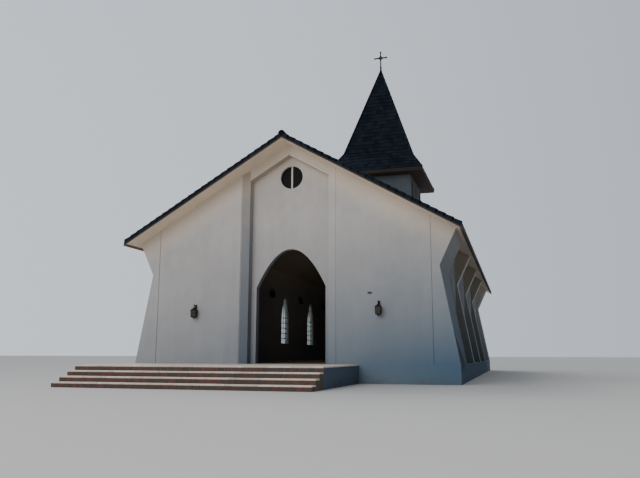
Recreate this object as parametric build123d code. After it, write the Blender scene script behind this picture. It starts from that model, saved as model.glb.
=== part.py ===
from build123d import *
from math import atan, degrees
import os

os.makedirs("parts", exist_ok=True)

# Small gabled chapel on a raised floor, in millimetres. X is across the front,
# Y runs from the entrance steps to the rear gable, Z is up from the paving.

# steps and landing in front of the entrance
riser_height = 157
tread_depth = 349
riser_count = 4
tread_thickness = 45
tread_nosing = 22
landing_depth = 4160
steps_left = 5400
steps_right = 2570

# heights above the chapel floor
waist_height = 3250
ridge_height = 8148
eave_height = 4529

# plan of the chapel: the walls are narrowest at the waist, and the rest is measured from there
half_waist = 5339
base_flare = 585
fin_flare = 571
eave_reach = 280
fin_projection = 59
wall_thickness = 250
front_wall_thickness = 250
rake_overhang = 767

# roof build-up, measured plumb
tile_thickness = 150
deck_thickness = 85
board_thickness = 30
ridge_radius = 130
ridge_sink = 80

# entrance bay
bay_half = 1796
splay_width = 299
splay_depth = 100
splay_lip = 10
panel_recess = 403
chevron_drop = 378
jamb_width = 193
door_spring = 2702
door_rise = 1377
groove_width = 25
groove_depth = 20
groove_inset = 265

# round windows, hung below the ridge
round_drop = 1396
round_radius = 427
round_bar_width = 60
round_bar_depth = 60
glass_thickness = 20
glass_clearance = 0.4

# side bays, from the front face backwards
front_pier_end = 2700
front_bay = 3800
fin_spacing = 4800
fin_count = 3
fin_thickness = 450
rear_pier_length = 1150
window_half = 600
window_sill = 950
window_jamb = 1450
window_rise = 1150

# belfry, measured from the rear gable and the ridge
belfry_setback = 4500
belfry_half = 2090
belfry_wall = 180
belfry_rise = 2722
slit_width = 360
slit_length = 1550
slit_drop = 420
slit_spacing = 1450
slit_count = 3

# spire, each stage measured from the one below
soffit_thickness = 60
spire_overhang = 810
spire_fascia = 230
kink_inset = 100
skirt_rise = 1390
spire_rise = 6000
spire_tip_half = 45
spire_shell = 140

# iron cross
cross_height = 1400
cross_bar = 50
cross_arm_height = 970
cross_arm_reach = 430
bud_radius = 55
cross_ring_radius = 120
cross_ring_width = 24
cross_ring_depth = 24
cross_foot_radius = 42
cross_foot_height = 160
knob_sides = 8
knob_rise = 0.9
knob_taper = 35

# wall lanterns
lantern_left = 3500
lantern_right = 3290
lantern_foot = 1570
lantern_standoff = 150
plate_width = 90
plate_height = 220
plate_thickness = 15
arm_thickness = 22
lamp_bottom_half = 52
lamp_top_half = 82
lamp_height = 230
hood_half = 100
hood_tip_half = 24
hood_height = 100
keel_tip_half = 16
keel_height = 60
finial_half = 12
finial_height = 90
finial_ball = 26
drop_ball = 20
nave_lantern_foot = 3330

# values that follow from the sizes above
floor = riser_height * riser_count
first_fin = front_pier_end + front_bay
last_pier_start = first_fin + fin_spacing * fin_count
chapel_length = last_pier_start + rear_pier_length + front_wall_thickness
steps_reach = landing_depth + tread_depth * (riser_count - 1)
rear_reach = chapel_length + rake_overhang
front = (steps_reach + tread_nosing - rear_reach) / 2
rear = front + chapel_length
side_start = front + front_wall_thickness
side_end = rear - front_wall_thickness
rake_front = front - rake_overhang
rake_rear = rear + rake_overhang

half_base = half_waist + base_flare
half_wall = half_waist - fin_projection
half_inside = half_wall - wall_thickness
half_eave = half_waist + fin_flare + eave_reach
roof_slope = (ridge_height - eave_height) / half_eave
roof_build = tile_thickness + deck_thickness

panel_half = bay_half - splay_width
panel_back = panel_recess + front_wall_thickness
door_half = panel_half - jamb_width
door_crown = door_spring + door_rise
groove_x = half_waist - groove_inset
round_height = ridge_height - round_drop
window_spring = window_sill + window_jamb
window_crown = window_spring + window_rise

belfry_y = rear - belfry_setback
soffit_height = ridge_height + belfry_rise
slit_top = soffit_height - slit_drop
slit_bottom = slit_top - slit_length
spire_eave_half = belfry_half + spire_overhang
spire_eave_height = soffit_height + spire_fascia
spire_kink_half = belfry_half - kink_inset
spire_kink_height = spire_eave_height + skirt_rise
spire_height = spire_kink_height + spire_rise


def roof_top(x):
    return floor + ridge_height - roof_slope * abs(x)


def deck_top(x):
    return roof_top(x) - tile_thickness


def soffit(x):
    return roof_top(x) - roof_build


def prism_y(points, y_start, y_end):
    outline = Polyline(*[(x, y_start, z) for x, z in points], close=True)
    return extrude(make_face(outline), amount=y_end - y_start, dir=(0, 1, 0))


def prism_x(points, x_start, x_end):
    outline = Polyline(*[(x_start, y, z) for y, z in points], close=True)
    return extrude(make_face(outline), amount=x_end - x_start, dir=(1, 0, 0))


def prism_z(points, z_start, z_end):
    outline = Polyline(*[(x, y, z_start) for x, y in points], close=True)
    return extrude(make_face(outline), amount=z_end - z_start, dir=(0, 0, 1))


def block(x_start, x_end, y_start, y_end, z_start, z_end):
    return prism_z([(x_start, y_start), (x_end, y_start), (x_end, y_end), (x_start, y_end)], z_start, z_end)


def other_side(shape):
    return mirror(shape, about=Plane.YZ)


# an opening with a parabolic head, drawn upright through the given placing function
def arch_face(place, half_width, foot, spring, crown):
    left_foot = place(-half_width, foot)
    left_spring = place(-half_width, spring)
    right_spring = place(half_width, spring)
    right_foot = place(half_width, foot)
    jambs = Polyline(left_spring, left_foot, right_foot, right_spring)
    head = Bezier(right_spring, place(0, 2 * crown - spring), left_spring)
    return make_face([jambs, head])


def arch_along_y(half_width, foot, spring, crown, y_start, y_end):
    face = arch_face(lambda u, z: (u, y_start, z), half_width, foot, spring, crown)
    return extrude(face, amount=y_end - y_start, dir=(0, 1, 0))


def arch_along_x(centre_y, half_width, foot, spring, crown, x_start, x_end):
    face = arch_face(lambda u, z: (x_start, centre_y + u, z), half_width, foot, spring, crown)
    return extrude(face, amount=x_end - x_start, dir=(1, 0, 0))


def disc_along_y(centre_z, radius, y_start, y_end):
    placed = Plane(origin=(0, y_start, centre_z), z_dir=(0, 1, 0))
    return extrude(placed * Circle(radius), amount=y_end - y_start)


# a square block with straight leaning sides, drawn from its wide end so that they stay flat
def frustum(centre_x, centre_y, half_bottom, half_top, z_bottom, z_top):
    wide = max(half_bottom, half_top)
    narrow = min(half_bottom, half_top)
    height = z_top - z_bottom
    lean = degrees(atan((wide - narrow) / height))
    base = Pos(centre_x, centre_y, z_bottom) * Rectangle(2 * wide, 2 * wide)
    shape = extrude(base, amount=height, taper=lean)
    if half_top > half_bottom:
        shape = mirror(shape, about=Plane.XY.offset((z_bottom + z_top) / 2))
    return shape


# an eight-sided knob, widest at its middle
def knob(centre_x, centre_y, centre_z, radius):
    girdle = Pos(centre_x, centre_y, centre_z) * RegularPolygon(radius, knob_sides)
    upper = extrude(girdle, amount=radius * knob_rise, taper=knob_taper)
    return upper + mirror(upper, about=Plane.XY.offset(centre_z))


# podium, landing and steps
def make_podium():
    return block(-half_base, half_base, front, rear, 0, floor)


def make_landing():
    return block(-steps_left, steps_right, front - landing_depth, front, 0, floor - tread_thickness)


def make_landing_paving():
    return block(-steps_left, steps_right, front - landing_depth - tread_nosing, front,
                 floor - tread_thickness, floor)


def step_front(number):
    return front - steps_reach + tread_depth * (number - 1)


def make_step_risers():
    top_step = riser_count - 1
    points = [(front - landing_depth, 0), (step_front(1), 0)]
    for number in range(1, riser_count):
        level = riser_height * number - tread_thickness
        points.append((step_front(number), level))
        points.append((step_front(number + 1), level))
    points = points[:-1] + [(front - landing_depth, riser_height * top_step - tread_thickness)]
    return prism_x(points, -steps_left, steps_right)


def make_tread(number):
    back = step_front(number + 1)
    level = riser_height * number
    return block(-steps_left, steps_right, step_front(number) - tread_nosing, back,
                 level - tread_thickness, level)


# walls
def bow_outline(inner_x):
    flare_x = half_waist + fin_flare
    return [
        (inner_x, floor),
        (half_base, floor),
        (half_waist, floor + waist_height),
        (flare_x, soffit(flare_x)),
        (inner_x, soffit(inner_x)),
    ]


def groove(x, y_face, depth):
    low = min(y_face, y_face + depth)
    high = max(y_face, y_face + depth)
    return block(x - groove_width / 2, x + groove_width / 2, low, high, floor, floor + ridge_height)


def make_front_wall():
    wall = prism_y(bow_outline(bay_half), front, side_start)
    return wall - groove(groove_x, front, groove_depth)


def make_pilaster():
    plan = [
        (bay_half, front + groove_depth),
        (bay_half - groove_width, front + groove_depth),
        (bay_half - groove_width, front + splay_lip),
        (panel_half, front + splay_depth),
        (panel_half, front + panel_back),
        (bay_half, front + panel_back),
    ]
    post = prism_z(plan, floor, floor + ridge_height)
    under_roof = [
        (panel_half, floor),
        (bay_half, floor),
        (bay_half, soffit(bay_half)),
        (panel_half, soffit(panel_half)),
    ]
    return post & prism_y(under_roof, front, front + panel_back)


def make_entrance_jamb():
    return block(door_half, panel_half, front + panel_recess, front + panel_back, floor, floor + door_spring)


def make_entrance_arch():
    points = [
        (-panel_half, floor + door_spring),
        (panel_half, floor + door_spring),
        (panel_half, soffit(panel_half) - chevron_drop),
        (0, soffit(0) - chevron_drop),
        (-panel_half, soffit(panel_half) - chevron_drop),
    ]
    y_start = front + panel_recess
    y_end = front + panel_back
    panel = prism_y(points, y_start, y_end)
    panel -= arch_along_y(door_half, floor, floor + door_spring, floor + door_crown, y_start, y_end)
    return panel - disc_along_y(floor + round_height, round_radius, y_start, y_end)


def make_gable_head():
    points = [
        (-panel_half, soffit(panel_half) - chevron_drop),
        (0, soffit(0) - chevron_drop),
        (panel_half, soffit(panel_half) - chevron_drop),
        (panel_half, soffit(panel_half)),
        (0, soffit(0)),
        (-panel_half, soffit(panel_half)),
    ]
    return prism_y(points, front + splay_depth, front + panel_back)


def make_rear_wall():
    right_half = bow_outline(0)
    left_half = [(-x, z) for x, z in reversed(right_half[1:-1])]
    wall = prism_y(right_half[1:] + left_half, side_end, rear)
    for x in (-groove_x, groove_x):
        wall -= groove(x, rear, -groove_depth)
    return wall - disc_along_y(floor + round_height, round_radius, side_end, rear)


def bay_centres():
    starts = [front_pier_end] + [first_fin + fin_thickness + fin_spacing * i for i in range(fin_count)]
    ends = [first_fin + fin_spacing * i for i in range(fin_count)] + [last_pier_start]
    return [front + (start + end) / 2 for start, end in zip(starts, ends)]


def make_side_wall():
    points = [
        (half_inside, floor),
        (half_wall, floor),
        (half_wall, soffit(half_wall)),
        (half_inside, soffit(half_inside)),
    ]
    wall = prism_y(points, side_start, side_end)
    for centre in bay_centres():
        wall -= arch_along_x(centre, window_half, floor + window_sill, floor + window_spring,
                             floor + window_crown, half_inside, half_wall)
    return wall


def make_window_glass():
    middle = (half_inside + half_wall - glass_thickness) / 2
    panes = [
        arch_along_x(centre, window_half - glass_clearance, floor + window_sill, floor + window_spring,
                     floor + window_crown - glass_clearance, middle, middle + glass_thickness)
        for centre in bay_centres()
    ]
    return Compound(children=panes)


# a fin leans in from the ground to the waist and flares out again to the eave
def make_fin(start, end):
    return prism_y(bow_outline(half_wall), front + start, front + end)


def make_fins():
    starts = [first_fin + fin_spacing * i for i in range(fin_count)]
    return Compound(children=[make_fin(start, start + fin_thickness) for start in starts])


# round windows in both gables
def make_round_glass():
    panes = []
    for start in (front + panel_recess, side_end):
        middle = start + (front_wall_thickness - glass_thickness) / 2
        panes.append(disc_along_y(floor + round_height, round_radius - glass_clearance,
                                  middle, middle + glass_thickness))
    return Compound(children=panes)


def make_round_bars():
    hole_front = front + panel_recess + (front_wall_thickness - glass_thickness) / 2
    hole_rear = side_end + (front_wall_thickness + glass_thickness) / 2
    bars = []
    for y_start, y_end in ((hole_front - round_bar_depth, hole_front), (hole_rear, hole_rear + round_bar_depth)):
        bar = block(-round_bar_width / 2, round_bar_width / 2, y_start, y_end,
                    floor + round_height - 2 * round_radius, floor + round_height + 2 * round_radius)
        bars.append(bar & disc_along_y(floor + round_height, round_radius - glass_clearance, y_start, y_end))
    return Compound(children=bars)


# roof
def make_roof_deck():
    edge = half_eave - board_thickness
    points = [(0, soffit(0)), (edge, soffit(edge)), (edge, deck_top(edge)), (0, deck_top(0))]
    return prism_y(points, rake_front + board_thickness, rake_rear - board_thickness)


def make_roof_tiles():
    points = [
        (0, deck_top(0)),
        (half_eave, deck_top(half_eave)),
        (half_eave, roof_top(half_eave)),
        (0, roof_top(0)),
    ]
    return prism_y(points, rake_front, rake_rear)


def make_eave_board():
    edge = half_eave - board_thickness
    points = [
        (edge, soffit(edge)),
        (half_eave, soffit(half_eave)),
        (half_eave, deck_top(half_eave)),
        (edge, deck_top(edge)),
    ]
    return prism_y(points, rake_front + board_thickness, rake_rear - board_thickness)


def make_bargeboard(y_start):
    points = [
        (-half_eave, soffit(half_eave)),
        (0, soffit(0)),
        (half_eave, soffit(half_eave)),
        (half_eave, deck_top(half_eave)),
        (0, deck_top(0)),
        (-half_eave, deck_top(half_eave)),
    ]
    return prism_y(points, y_start, y_start + board_thickness)


def make_ridge_cap():
    cap = disc_along_y(roof_top(0) - ridge_sink, ridge_radius, rake_front, rake_rear)
    side = 2 * ridge_radius
    roof = prism_y([(-side, roof_top(side)), (0, roof_top(0)), (side, roof_top(side)), (0, floor)],
                   rake_front, rake_rear)
    tower = block(-belfry_half, belfry_half, belfry_y - belfry_half, belfry_y + belfry_half, 0, spire_height)
    return cap - roof - tower


# belfry standing across the ridge
def above_roof(shape):
    reach = 2 * belfry_half
    roof = prism_y([(-reach, 0), (reach, 0), (reach, roof_top(reach)), (0, roof_top(0)), (-reach, roof_top(reach))],
                   rake_front, rake_rear)
    return shape - roof


def make_belfry_gable_wall(y_start):
    wall = block(-belfry_half, belfry_half, y_start, y_start + belfry_wall, floor, floor + soffit_height)
    return above_roof(wall)


def slit_centres():
    first = belfry_y - slit_spacing * (slit_count - 1) / 2
    return [first + slit_spacing * i for i in range(slit_count)]


def make_belfry_side_wall():
    inner = belfry_half - belfry_wall
    wall = block(inner, belfry_half, belfry_y - inner, belfry_y + inner, floor, floor + soffit_height)
    wall = above_roof(wall)
    for centre in slit_centres():
        wall -= block(inner, belfry_half, centre - slit_width / 2, centre + slit_width / 2,
                      floor + slit_bottom, floor + slit_top)
    return wall


def make_spire_soffit():
    half = spire_eave_half - board_thickness
    return block(-half, half, belfry_y - half, belfry_y + half,
                 floor + soffit_height, floor + soffit_height + soffit_thickness)


def make_spire_skirt():
    low = floor + soffit_height + soffit_thickness
    edge = floor + spire_eave_height
    high = floor + spire_kink_height
    outer = frustum(0, belfry_y, spire_eave_half, spire_eave_half, low, edge)
    outer += frustum(0, belfry_y, spire_eave_half, spire_kink_half, edge, high)
    inner = frustum(0, belfry_y, spire_eave_half - spire_shell, spire_kink_half - spire_shell, low, high)
    return outer - inner


def make_spire():
    low = floor + spire_kink_height
    high = floor + spire_height
    lean = (spire_kink_half - spire_tip_half) / (spire_height - spire_kink_height)
    hollow_half = spire_kink_half - spire_shell
    hollow_top = low + (hollow_half - spire_tip_half) / lean
    outer = frustum(0, belfry_y, spire_kink_half, spire_tip_half, low, high)
    return outer - frustum(0, belfry_y, hollow_half, spire_tip_half, low, hollow_top)


def make_cross():
    foot = floor + spire_height
    half = cross_bar / 2
    crossing = foot + cross_arm_height
    cross = Pos(0, belfry_y, foot) * Cylinder(cross_foot_radius, cross_foot_height,
                                              align=(Align.CENTER, Align.CENTER, Align.MIN))
    cross += block(-half, half, belfry_y - half, belfry_y + half, foot, foot + cross_height)
    cross += block(-cross_arm_reach, cross_arm_reach, belfry_y - half, belfry_y + half,
                   crossing - half, crossing + half)
    for x, z in ((-cross_arm_reach, crossing), (cross_arm_reach, crossing), (0, foot + cross_height - bud_radius)):
        cross += knob(x, belfry_y, z, bud_radius)
    ring_start = belfry_y - cross_ring_depth / 2
    ring_end = belfry_y + cross_ring_depth / 2
    ring = disc_along_y(crossing, cross_ring_radius, ring_start, ring_end)
    ring -= disc_along_y(crossing, cross_ring_radius - cross_ring_width, ring_start, ring_end)
    return cross + ring


# a wall lantern whose back plate lies on the plane y = 0 and which hangs towards -Y
def make_lantern():
    axis = -lantern_standoff
    keel_low = drop_ball * 2
    lamp_low = keel_low + keel_height
    hood_low = lamp_low + lamp_height
    tip_low = hood_low + hood_height
    lamp = frustum(0, axis, lamp_bottom_half, lamp_top_half, lamp_low, hood_low)
    lamp += frustum(0, axis, keel_tip_half, lamp_bottom_half, keel_low, lamp_low)
    lamp += frustum(0, axis, hood_half, hood_tip_half, hood_low, tip_low)
    lamp += knob(0, axis, drop_ball, drop_ball)
    lamp += block(-keel_tip_half, keel_tip_half, axis - keel_tip_half, axis + keel_tip_half, drop_ball, keel_low)
    lamp += block(-finial_half, finial_half, axis - finial_half, axis + finial_half, tip_low, tip_low + finial_height)
    lamp += knob(0, axis, tip_low + finial_height, finial_ball)
    arm_low = tip_low + (finial_height - arm_thickness) / 2
    lamp += block(-arm_thickness / 2, arm_thickness / 2, axis, -plate_thickness / 2,
                  arm_low, arm_low + arm_thickness)
    lamp += block(-plate_width / 2, plate_width / 2, -plate_thickness, 0,
                  tip_low + finial_height - plate_height, tip_low + finial_height)
    return lamp


def make_front_lantern(x):
    return Pos(x, front, floor + lantern_foot) * make_lantern()


def make_nave_lanterns():
    lamps = []
    for number in range(fin_count + 1):
        y = front + first_fin + fin_spacing * number + fin_thickness / 2
        for side, turn in ((-1, 90), (1, -90)):
            place = Pos(side * half_inside, y, floor + nave_lantern_foot) * Rot(0, 0, turn)
            lamps.append(place * make_lantern())
    return Compound(children=lamps)


parts = {
    "podium": make_podium(),
    "landing": make_landing(),
    "landing_paving": make_landing_paving(),
    "step_risers": make_step_risers(),
    "front_wall_right": make_front_wall(),
    "pilaster_right": make_pilaster(),
    "entrance_jamb_right": make_entrance_jamb(),
    "entrance_arch": make_entrance_arch(),
    "gable_head": make_gable_head(),
    "rear_wall": make_rear_wall(),
    "side_wall_right": make_side_wall(),
    "window_glass_right": make_window_glass(),
    "front_pier_right": make_fin(front_wall_thickness, front_pier_end),
    "fins_right": make_fins(),
    "rear_pier_right": make_fin(last_pier_start, chapel_length - front_wall_thickness),
    "round_window_glass": make_round_glass(),
    "round_window_bars": make_round_bars(),
    "roof_deck_right": make_roof_deck(),
    "roof_tiles_right": make_roof_tiles(),
    "eave_board_right": make_eave_board(),
    "front_bargeboard": make_bargeboard(rake_front),
    "rear_bargeboard": make_bargeboard(rake_rear - board_thickness),
    "ridge_cap": make_ridge_cap(),
    "belfry_front": make_belfry_gable_wall(belfry_y - belfry_half),
    "belfry_rear": make_belfry_gable_wall(belfry_y + belfry_half - belfry_wall),
    "belfry_right": make_belfry_side_wall(),
    "spire_soffit": make_spire_soffit(),
    "spire_skirt": make_spire_skirt(),
    "spire": make_spire(),
    "cross": make_cross(),
    "lantern_left": make_front_lantern(-lantern_left),
    "lantern_right": make_front_lantern(lantern_right),
    "nave_lanterns": make_nave_lanterns(),
}

for number in range(1, riser_count):
    parts[f"tread_{number}"] = make_tread(number)

mirrored = [
    "front_wall",
    "pilaster",
    "entrance_jamb",
    "side_wall",
    "window_glass",
    "front_pier",
    "fins",
    "rear_pier",
    "roof_deck",
    "roof_tiles",
    "eave_board",
    "belfry",
]
for name in mirrored:
    parts[f"{name}_left"] = other_side(parts[f"{name}_right"])

for name, shape in parts.items():
    export_step(shape, f"parts/{name}.step")
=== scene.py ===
import math
import random

import bmesh
import bpy
from mathutils import Matrix, Vector


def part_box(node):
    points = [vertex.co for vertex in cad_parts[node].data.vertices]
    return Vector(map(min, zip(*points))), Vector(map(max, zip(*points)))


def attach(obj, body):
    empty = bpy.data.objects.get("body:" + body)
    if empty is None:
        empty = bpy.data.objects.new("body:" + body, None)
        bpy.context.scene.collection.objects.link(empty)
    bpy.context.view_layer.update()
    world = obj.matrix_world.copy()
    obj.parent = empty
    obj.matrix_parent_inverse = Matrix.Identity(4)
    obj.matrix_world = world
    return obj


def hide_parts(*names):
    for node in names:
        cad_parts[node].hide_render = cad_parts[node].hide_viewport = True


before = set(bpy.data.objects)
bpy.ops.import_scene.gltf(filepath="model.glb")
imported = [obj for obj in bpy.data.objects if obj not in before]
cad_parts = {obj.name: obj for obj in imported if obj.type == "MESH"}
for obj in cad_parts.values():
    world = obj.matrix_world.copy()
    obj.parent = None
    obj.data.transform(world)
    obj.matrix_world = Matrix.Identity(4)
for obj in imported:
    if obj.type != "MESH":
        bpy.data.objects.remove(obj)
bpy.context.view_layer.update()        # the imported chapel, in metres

dice = random.Random(11)

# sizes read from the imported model
podiumLow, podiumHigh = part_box("podium")
tilesLow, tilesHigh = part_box("roof_tiles_right")
floorZ = podiumHigh.z
frontY = podiumLow.y
rearY = podiumHigh.y
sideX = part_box("side_wall_right")[0].x       # inner face of the side wall
finThickness = 0.45
rakeFrontY = tilesLow.y
rakeRearY = tilesHigh.y
rakeLength = rakeRearY - rakeFrontY
halfEave = tilesHigh.x
tileLayer = 0.15                             # plumb, from the deck up to the top of the tiles
deckLayer = 0.085
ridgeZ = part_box("roof_deck_right")[1].z + tileLayer
eaveZ = tilesLow.z + tileLayer
roofAngle = math.atan2(ridgeZ - eaveZ, halfEave)
roofSlope = math.tan(roofAngle)
slopeLength = math.hypot(halfEave, ridgeZ - eaveZ)
fourCorners = ((1, 1), (1, -1), (-1, 1), (-1, -1))


def roofTop(x):
    return ridgeZ - roofSlope * abs(x)


def finSpacing(low, high):
    return (high.y - low.y - finThickness) / 2


# small tools for materials
def addNode(mat, kind, inputs=None, **options):
    tree = mat.node_tree
    node = tree.nodes.new("ShaderNode" + kind)
    for option, value in options.items():
        setattr(node, option, value)
    for socket, value in (inputs or {}).items():
        if isinstance(value, bpy.types.NodeSocket):
            tree.links.new(value, node.inputs[socket])
        else:
            node.inputs[socket].default_value = value
    return node


def shaderOf(mat):
    return mat.node_tree.nodes["Principled BSDF"]


def newMaterial(name, **settings):
    mat = bpy.data.materials.new(name)
    mat.use_nodes = True
    for socket, value in settings.items():
        shaderOf(mat).inputs[socket.replace("_", " ")].default_value = value
    return mat


def place(mat, scale=(1, 1, 1)):
    coords = addNode(mat, "TexCoord").outputs["Object"]
    return addNode(mat, "Mapping", {"Vector": coords, "Scale": scale}).outputs["Vector"]


def noise(mat, vector, scale, detail=4, roughness=0.55):
    values = {"Vector": vector, "Scale": scale, "Detail": detail, "Roughness": roughness}
    return addNode(mat, "TexNoise", values).outputs["Fac"]


def ramp(mat, factor, *stops):
    node = addNode(mat, "ValToRGB", {"Fac": factor})
    marks = node.color_ramp.elements
    while len(marks) < len(stops):
        marks.new(0.5)
    for mark, (position, colour) in zip(marks, stops):
        mark.position = position
        mark.color = (*colour, 1)
    return node.outputs["Color"]


def mix(mat, factor, first, second, blend="MIX"):
    node = addNode(mat, "Mix", data_type="RGBA", blend_type=blend)
    for index, value in ((0, factor), (6, first), (7, second)):
        if isinstance(value, bpy.types.NodeSocket):
            mat.node_tree.links.new(value, node.inputs[index])
        elif index:
            node.inputs[index].default_value = (*value, 1)
        else:
            node.inputs[index].default_value = value
    return node.outputs[2]


def tint(mat, factor, colour, tone):
    return mix(mat, factor, colour, tone, "MULTIPLY")


def shade(mat, share, colour, factor, *stops):
    greys = [(position, (value, value, value)) for position, value in stops]
    return tint(mat, share, colour, ramp(mat, factor, *greys))


def maths(mat, operation, first, second=0.0):
    return addNode(mat, "Math", {0: first, 1: second}, operation=operation).outputs[0]


def times(mat, first, *others):
    for other in others:
        first = maths(mat, "MULTIPLY", first, other)
    return first


def spread(mat, value, low, high, newLow=0.0, newHigh=1.0):
    values = {"Value": value, "From Min": low, "From Max": high, "To Min": newLow, "To Max": newHigh}
    return addNode(mat, "MapRange", values).outputs["Result"]


def along(mat, axis):
    coords = addNode(mat, "TexCoord").outputs["Object"]
    return addNode(mat, "SeparateXYZ", {"Vector": coords}).outputs[axis]


def perPiece(mat):
    return addNode(mat, "NewGeometry").outputs["Random Per Island"]


def dress(mat, colour, wear, rough, relief=None, strength=0.3, depth=0.004):
    links, shader = mat.node_tree.links, shaderOf(mat)
    links.new(colour, shader.inputs["Base Color"])
    links.new(spread(mat, wear, 0.3, 0.7, *rough), shader.inputs["Roughness"])
    if relief is not None:
        bump = addNode(mat, "Bump", {"Height": relief, "Strength": strength, "Distance": depth})
        links.new(bump.outputs["Normal"], shader.inputs["Normal"])
    return mat


# plaster of the walls, fins, soffit and belfry
stuccoLook = {
    "cream": (0.62, 0.59, 0.57),
    "shadeCream": (0.55, 0.525, 0.51),
    "blotches": (0.45, 3),                 # noise, here and below: scale, detail, roughness
    "mottle": (2.6, 6, 0.6),
    "mottleShare": 0.8,
    "streaks": (1.6, 5, 0.65),
    "streakStretch": (2.2, 2.2, 0.16),
    "runs": 0.30,                          # share of the streaks
    "trowel": (7, 3),
    "grit": (55, 5, 0.7),
    "warm": (0.80, 0.68, 0.54),            # painted light under the eaves: warm bounce on walls, shade on fins
    "warmReach": 1.1,
    "warmShare": 0.8,
    "cool": (0.095, 0.165, 0.24),          # painted shade, darker and bluer towards the foot
    "coolHeight": 5.4,
    "coolLeft": 0.45,                      # share of it at the left end, right end and rear
    "coolRight": 1.0,
    "coolRear": 0.45,
    "dirt": (0.14, 0.13, 0.12),            # splashed up from the ground
    "dirtShare": 0.7,
    "splashHeight": 0.30,
    "weathered": (0.50, 0.54, 0.60),       # painted shade on faces turned to the right, low down and near the top
    "weatheredTop": (0.72, 0.68, 0.62),
    "weatheredHeights": (4.0, 7.0),
    "frontHeights": (2.6, 4.6),            # where the painted shade on front faces turns into the one at the top
    "damp": (0.012, 0.012, 0.014),
    "dampRise": 1.2,                       # painted shadow, up and along the right side of the front corner
    "dampRun": 2.0,
    "dampShare": 0.8,
}


def makeStucco(name, **changes):
    look = {**stuccoLook, **changes}
    mat = newMaterial(name, Roughness=0.9, Specular_IOR_Level=0.25)
    flat = place(mat)
    mottled = noise(mat, flat, *look["mottle"])
    streaks = noise(mat, place(mat, look["streakStretch"]), *look["streaks"])
    sideways, depth, height = along(mat, "X"), along(mat, "Y"), along(mat, "Z")
    across = maths(mat, "ABSOLUTE", sideways)
    normal = addNode(mat, "NewGeometry").outputs["Normal"]
    facing = addNode(mat, "SeparateXYZ", {"Vector": normal}).outputs
    broad = spread(mat, noise(mat, flat, *look["blotches"]), 0.35, 0.68)
    colour = mix(mat, broad, look["cream"], look["shadeCream"])
    colour = shade(mat, look["mottleShare"], colour, mottled, (0.35, 0.93), (0.7, 1.03))
    colour = shade(mat, look["runs"], colour, streaks, (0.42, 0.86), (0.6, 1))

    # painted light near the soffit: warm bounce on the walls, painted shade on the fins
    soffit = ridgeZ - tileLayer - deckLayer
    level = maths(mat, "ADD", times(mat, across, roofSlope), height)
    near = spread(mat, level, soffit - look["warmReach"], soffit, 0.0, look["warmShare"])
    colour = mix(mat, near, colour, look["warm"])
    # painted shade on the soffit inside the nave
    if "inside" in look:
        within = times(mat, spread(mat, depth, frontY + 0.5, frontY + 0.6),
                       spread(mat, depth, rearY - 0.15, rearY - 0.25),
                       spread(mat, across, sideX + 0.1, sideX))
        colour = mix(mat, within, colour, look["inside"])

    # painted shade: darker and bluer towards the foot, most at the right end, less at the rear
    low = maths(mat, "POWER", spread(mat, height, floorZ + look["coolHeight"], floorZ), 1.2)
    share = times(mat, spread(mat, sideways, -5.0, 6.0, look["coolLeft"], look["coolRight"]),
                  spread(mat, depth, rearY - 6.0, rearY, 1.0, look["coolRear"]))
    colour = mix(mat, times(mat, low, share), colour, look["cool"])
    splash = spread(mat, height, look["splashHeight"], 0.0)
    ragged = times(mat, splash, spread(mat, mottled, 0.4, 0.62), look["dirtShare"])
    colour = mix(mat, ragged, colour, look["dirt"])

    # painted shade on faces turned to the right, from the tone low down to the one near the top
    low, high = look["weatheredHeights"]
    fading = spread(mat, height, floorZ + low, floorZ + high)
    weathered = tint(mat, 1.0, colour, mix(mat, fading, look["weathered"], look["weatheredTop"]))
    colour = mix(mat, spread(mat, facing["X"], 0.12, 0.32), colour, weathered)
    # painted shade on faces turned to the front, deepest low down and warmer near the top
    if "frontTone" in look:
        low, high = look["frontHeights"]
        bounce = spread(mat, height, floorZ + low, floorZ + high)
        toned = tint(mat, 1.0, colour, mix(mat, bounce, look["frontTone"], look["frontToneTop"]))
        colour = mix(mat, spread(mat, facing["Y"], -0.5, -0.9), colour, toned)

    # painted shadow: a dark wedge at the foot of the right side, near the front corner
    rise = spread(mat, height, floorZ, floorZ + look["dampRise"])
    run = spread(mat, depth, frontY, frontY + look["dampRun"])
    damp = maths(mat, "ADD", maths(mat, "ADD", rise, run), times(mat, mottled, 0.3))
    damp = times(mat, spread(mat, damp, 1.17, 0.98), spread(mat, facing["X"], 0.5, 0.8),
                 spread(mat, sideways, 4.5, 5.0), spread(mat, height, floorZ - 0.3, floorZ),
                 look["dampShare"])
    colour = mix(mat, damp, colour, look["damp"])
    trowel, grit = noise(mat, flat, *look["trowel"]), noise(mat, flat, *look["grit"])
    relief = maths(mat, "ADD", times(mat, trowel, 0.8), times(mat, grit, 0.35))
    return dress(mat, colour, mottled, (0.8, 0.95), relief, 0.35, 0.012)


plain = (1.0, 1.0, 1.0)
stucco = makeStucco("stucco")
# painted light: this plaster is paler and warmer than the walls for the warm light thrown up from the
# ground, with painted shade inside the nave
soffitPlaster = makeStucco("soffitPlaster", cream=(0.95, 0.82, 0.66), shadeCream=(0.87, 0.73, 0.57),
                           weathered=plain, weatheredTop=plain, warmShare=0.0,
                           inside=(0.40, 0.37, 0.33))
# the wall stucco with painted shade on the fins: darker front faces, lighter faces turned to the right,
# shade under the eaves and at the foot
finPlaster = makeStucco("finPlaster", cream=(0.66, 0.65, 0.62), shadeCream=(0.56, 0.54, 0.51),
                        runs=0.8, cool=(0.27, 0.31, 0.35), warm=(0.60, 0.55, 0.48),
                        weathered=(0.95, 0.98, 1.0), weatheredTop=(1.0, 0.95, 0.88),
                        frontTone=(0.58, 0.55, 0.50), frontToneTop=(0.76, 0.69, 0.58))
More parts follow.
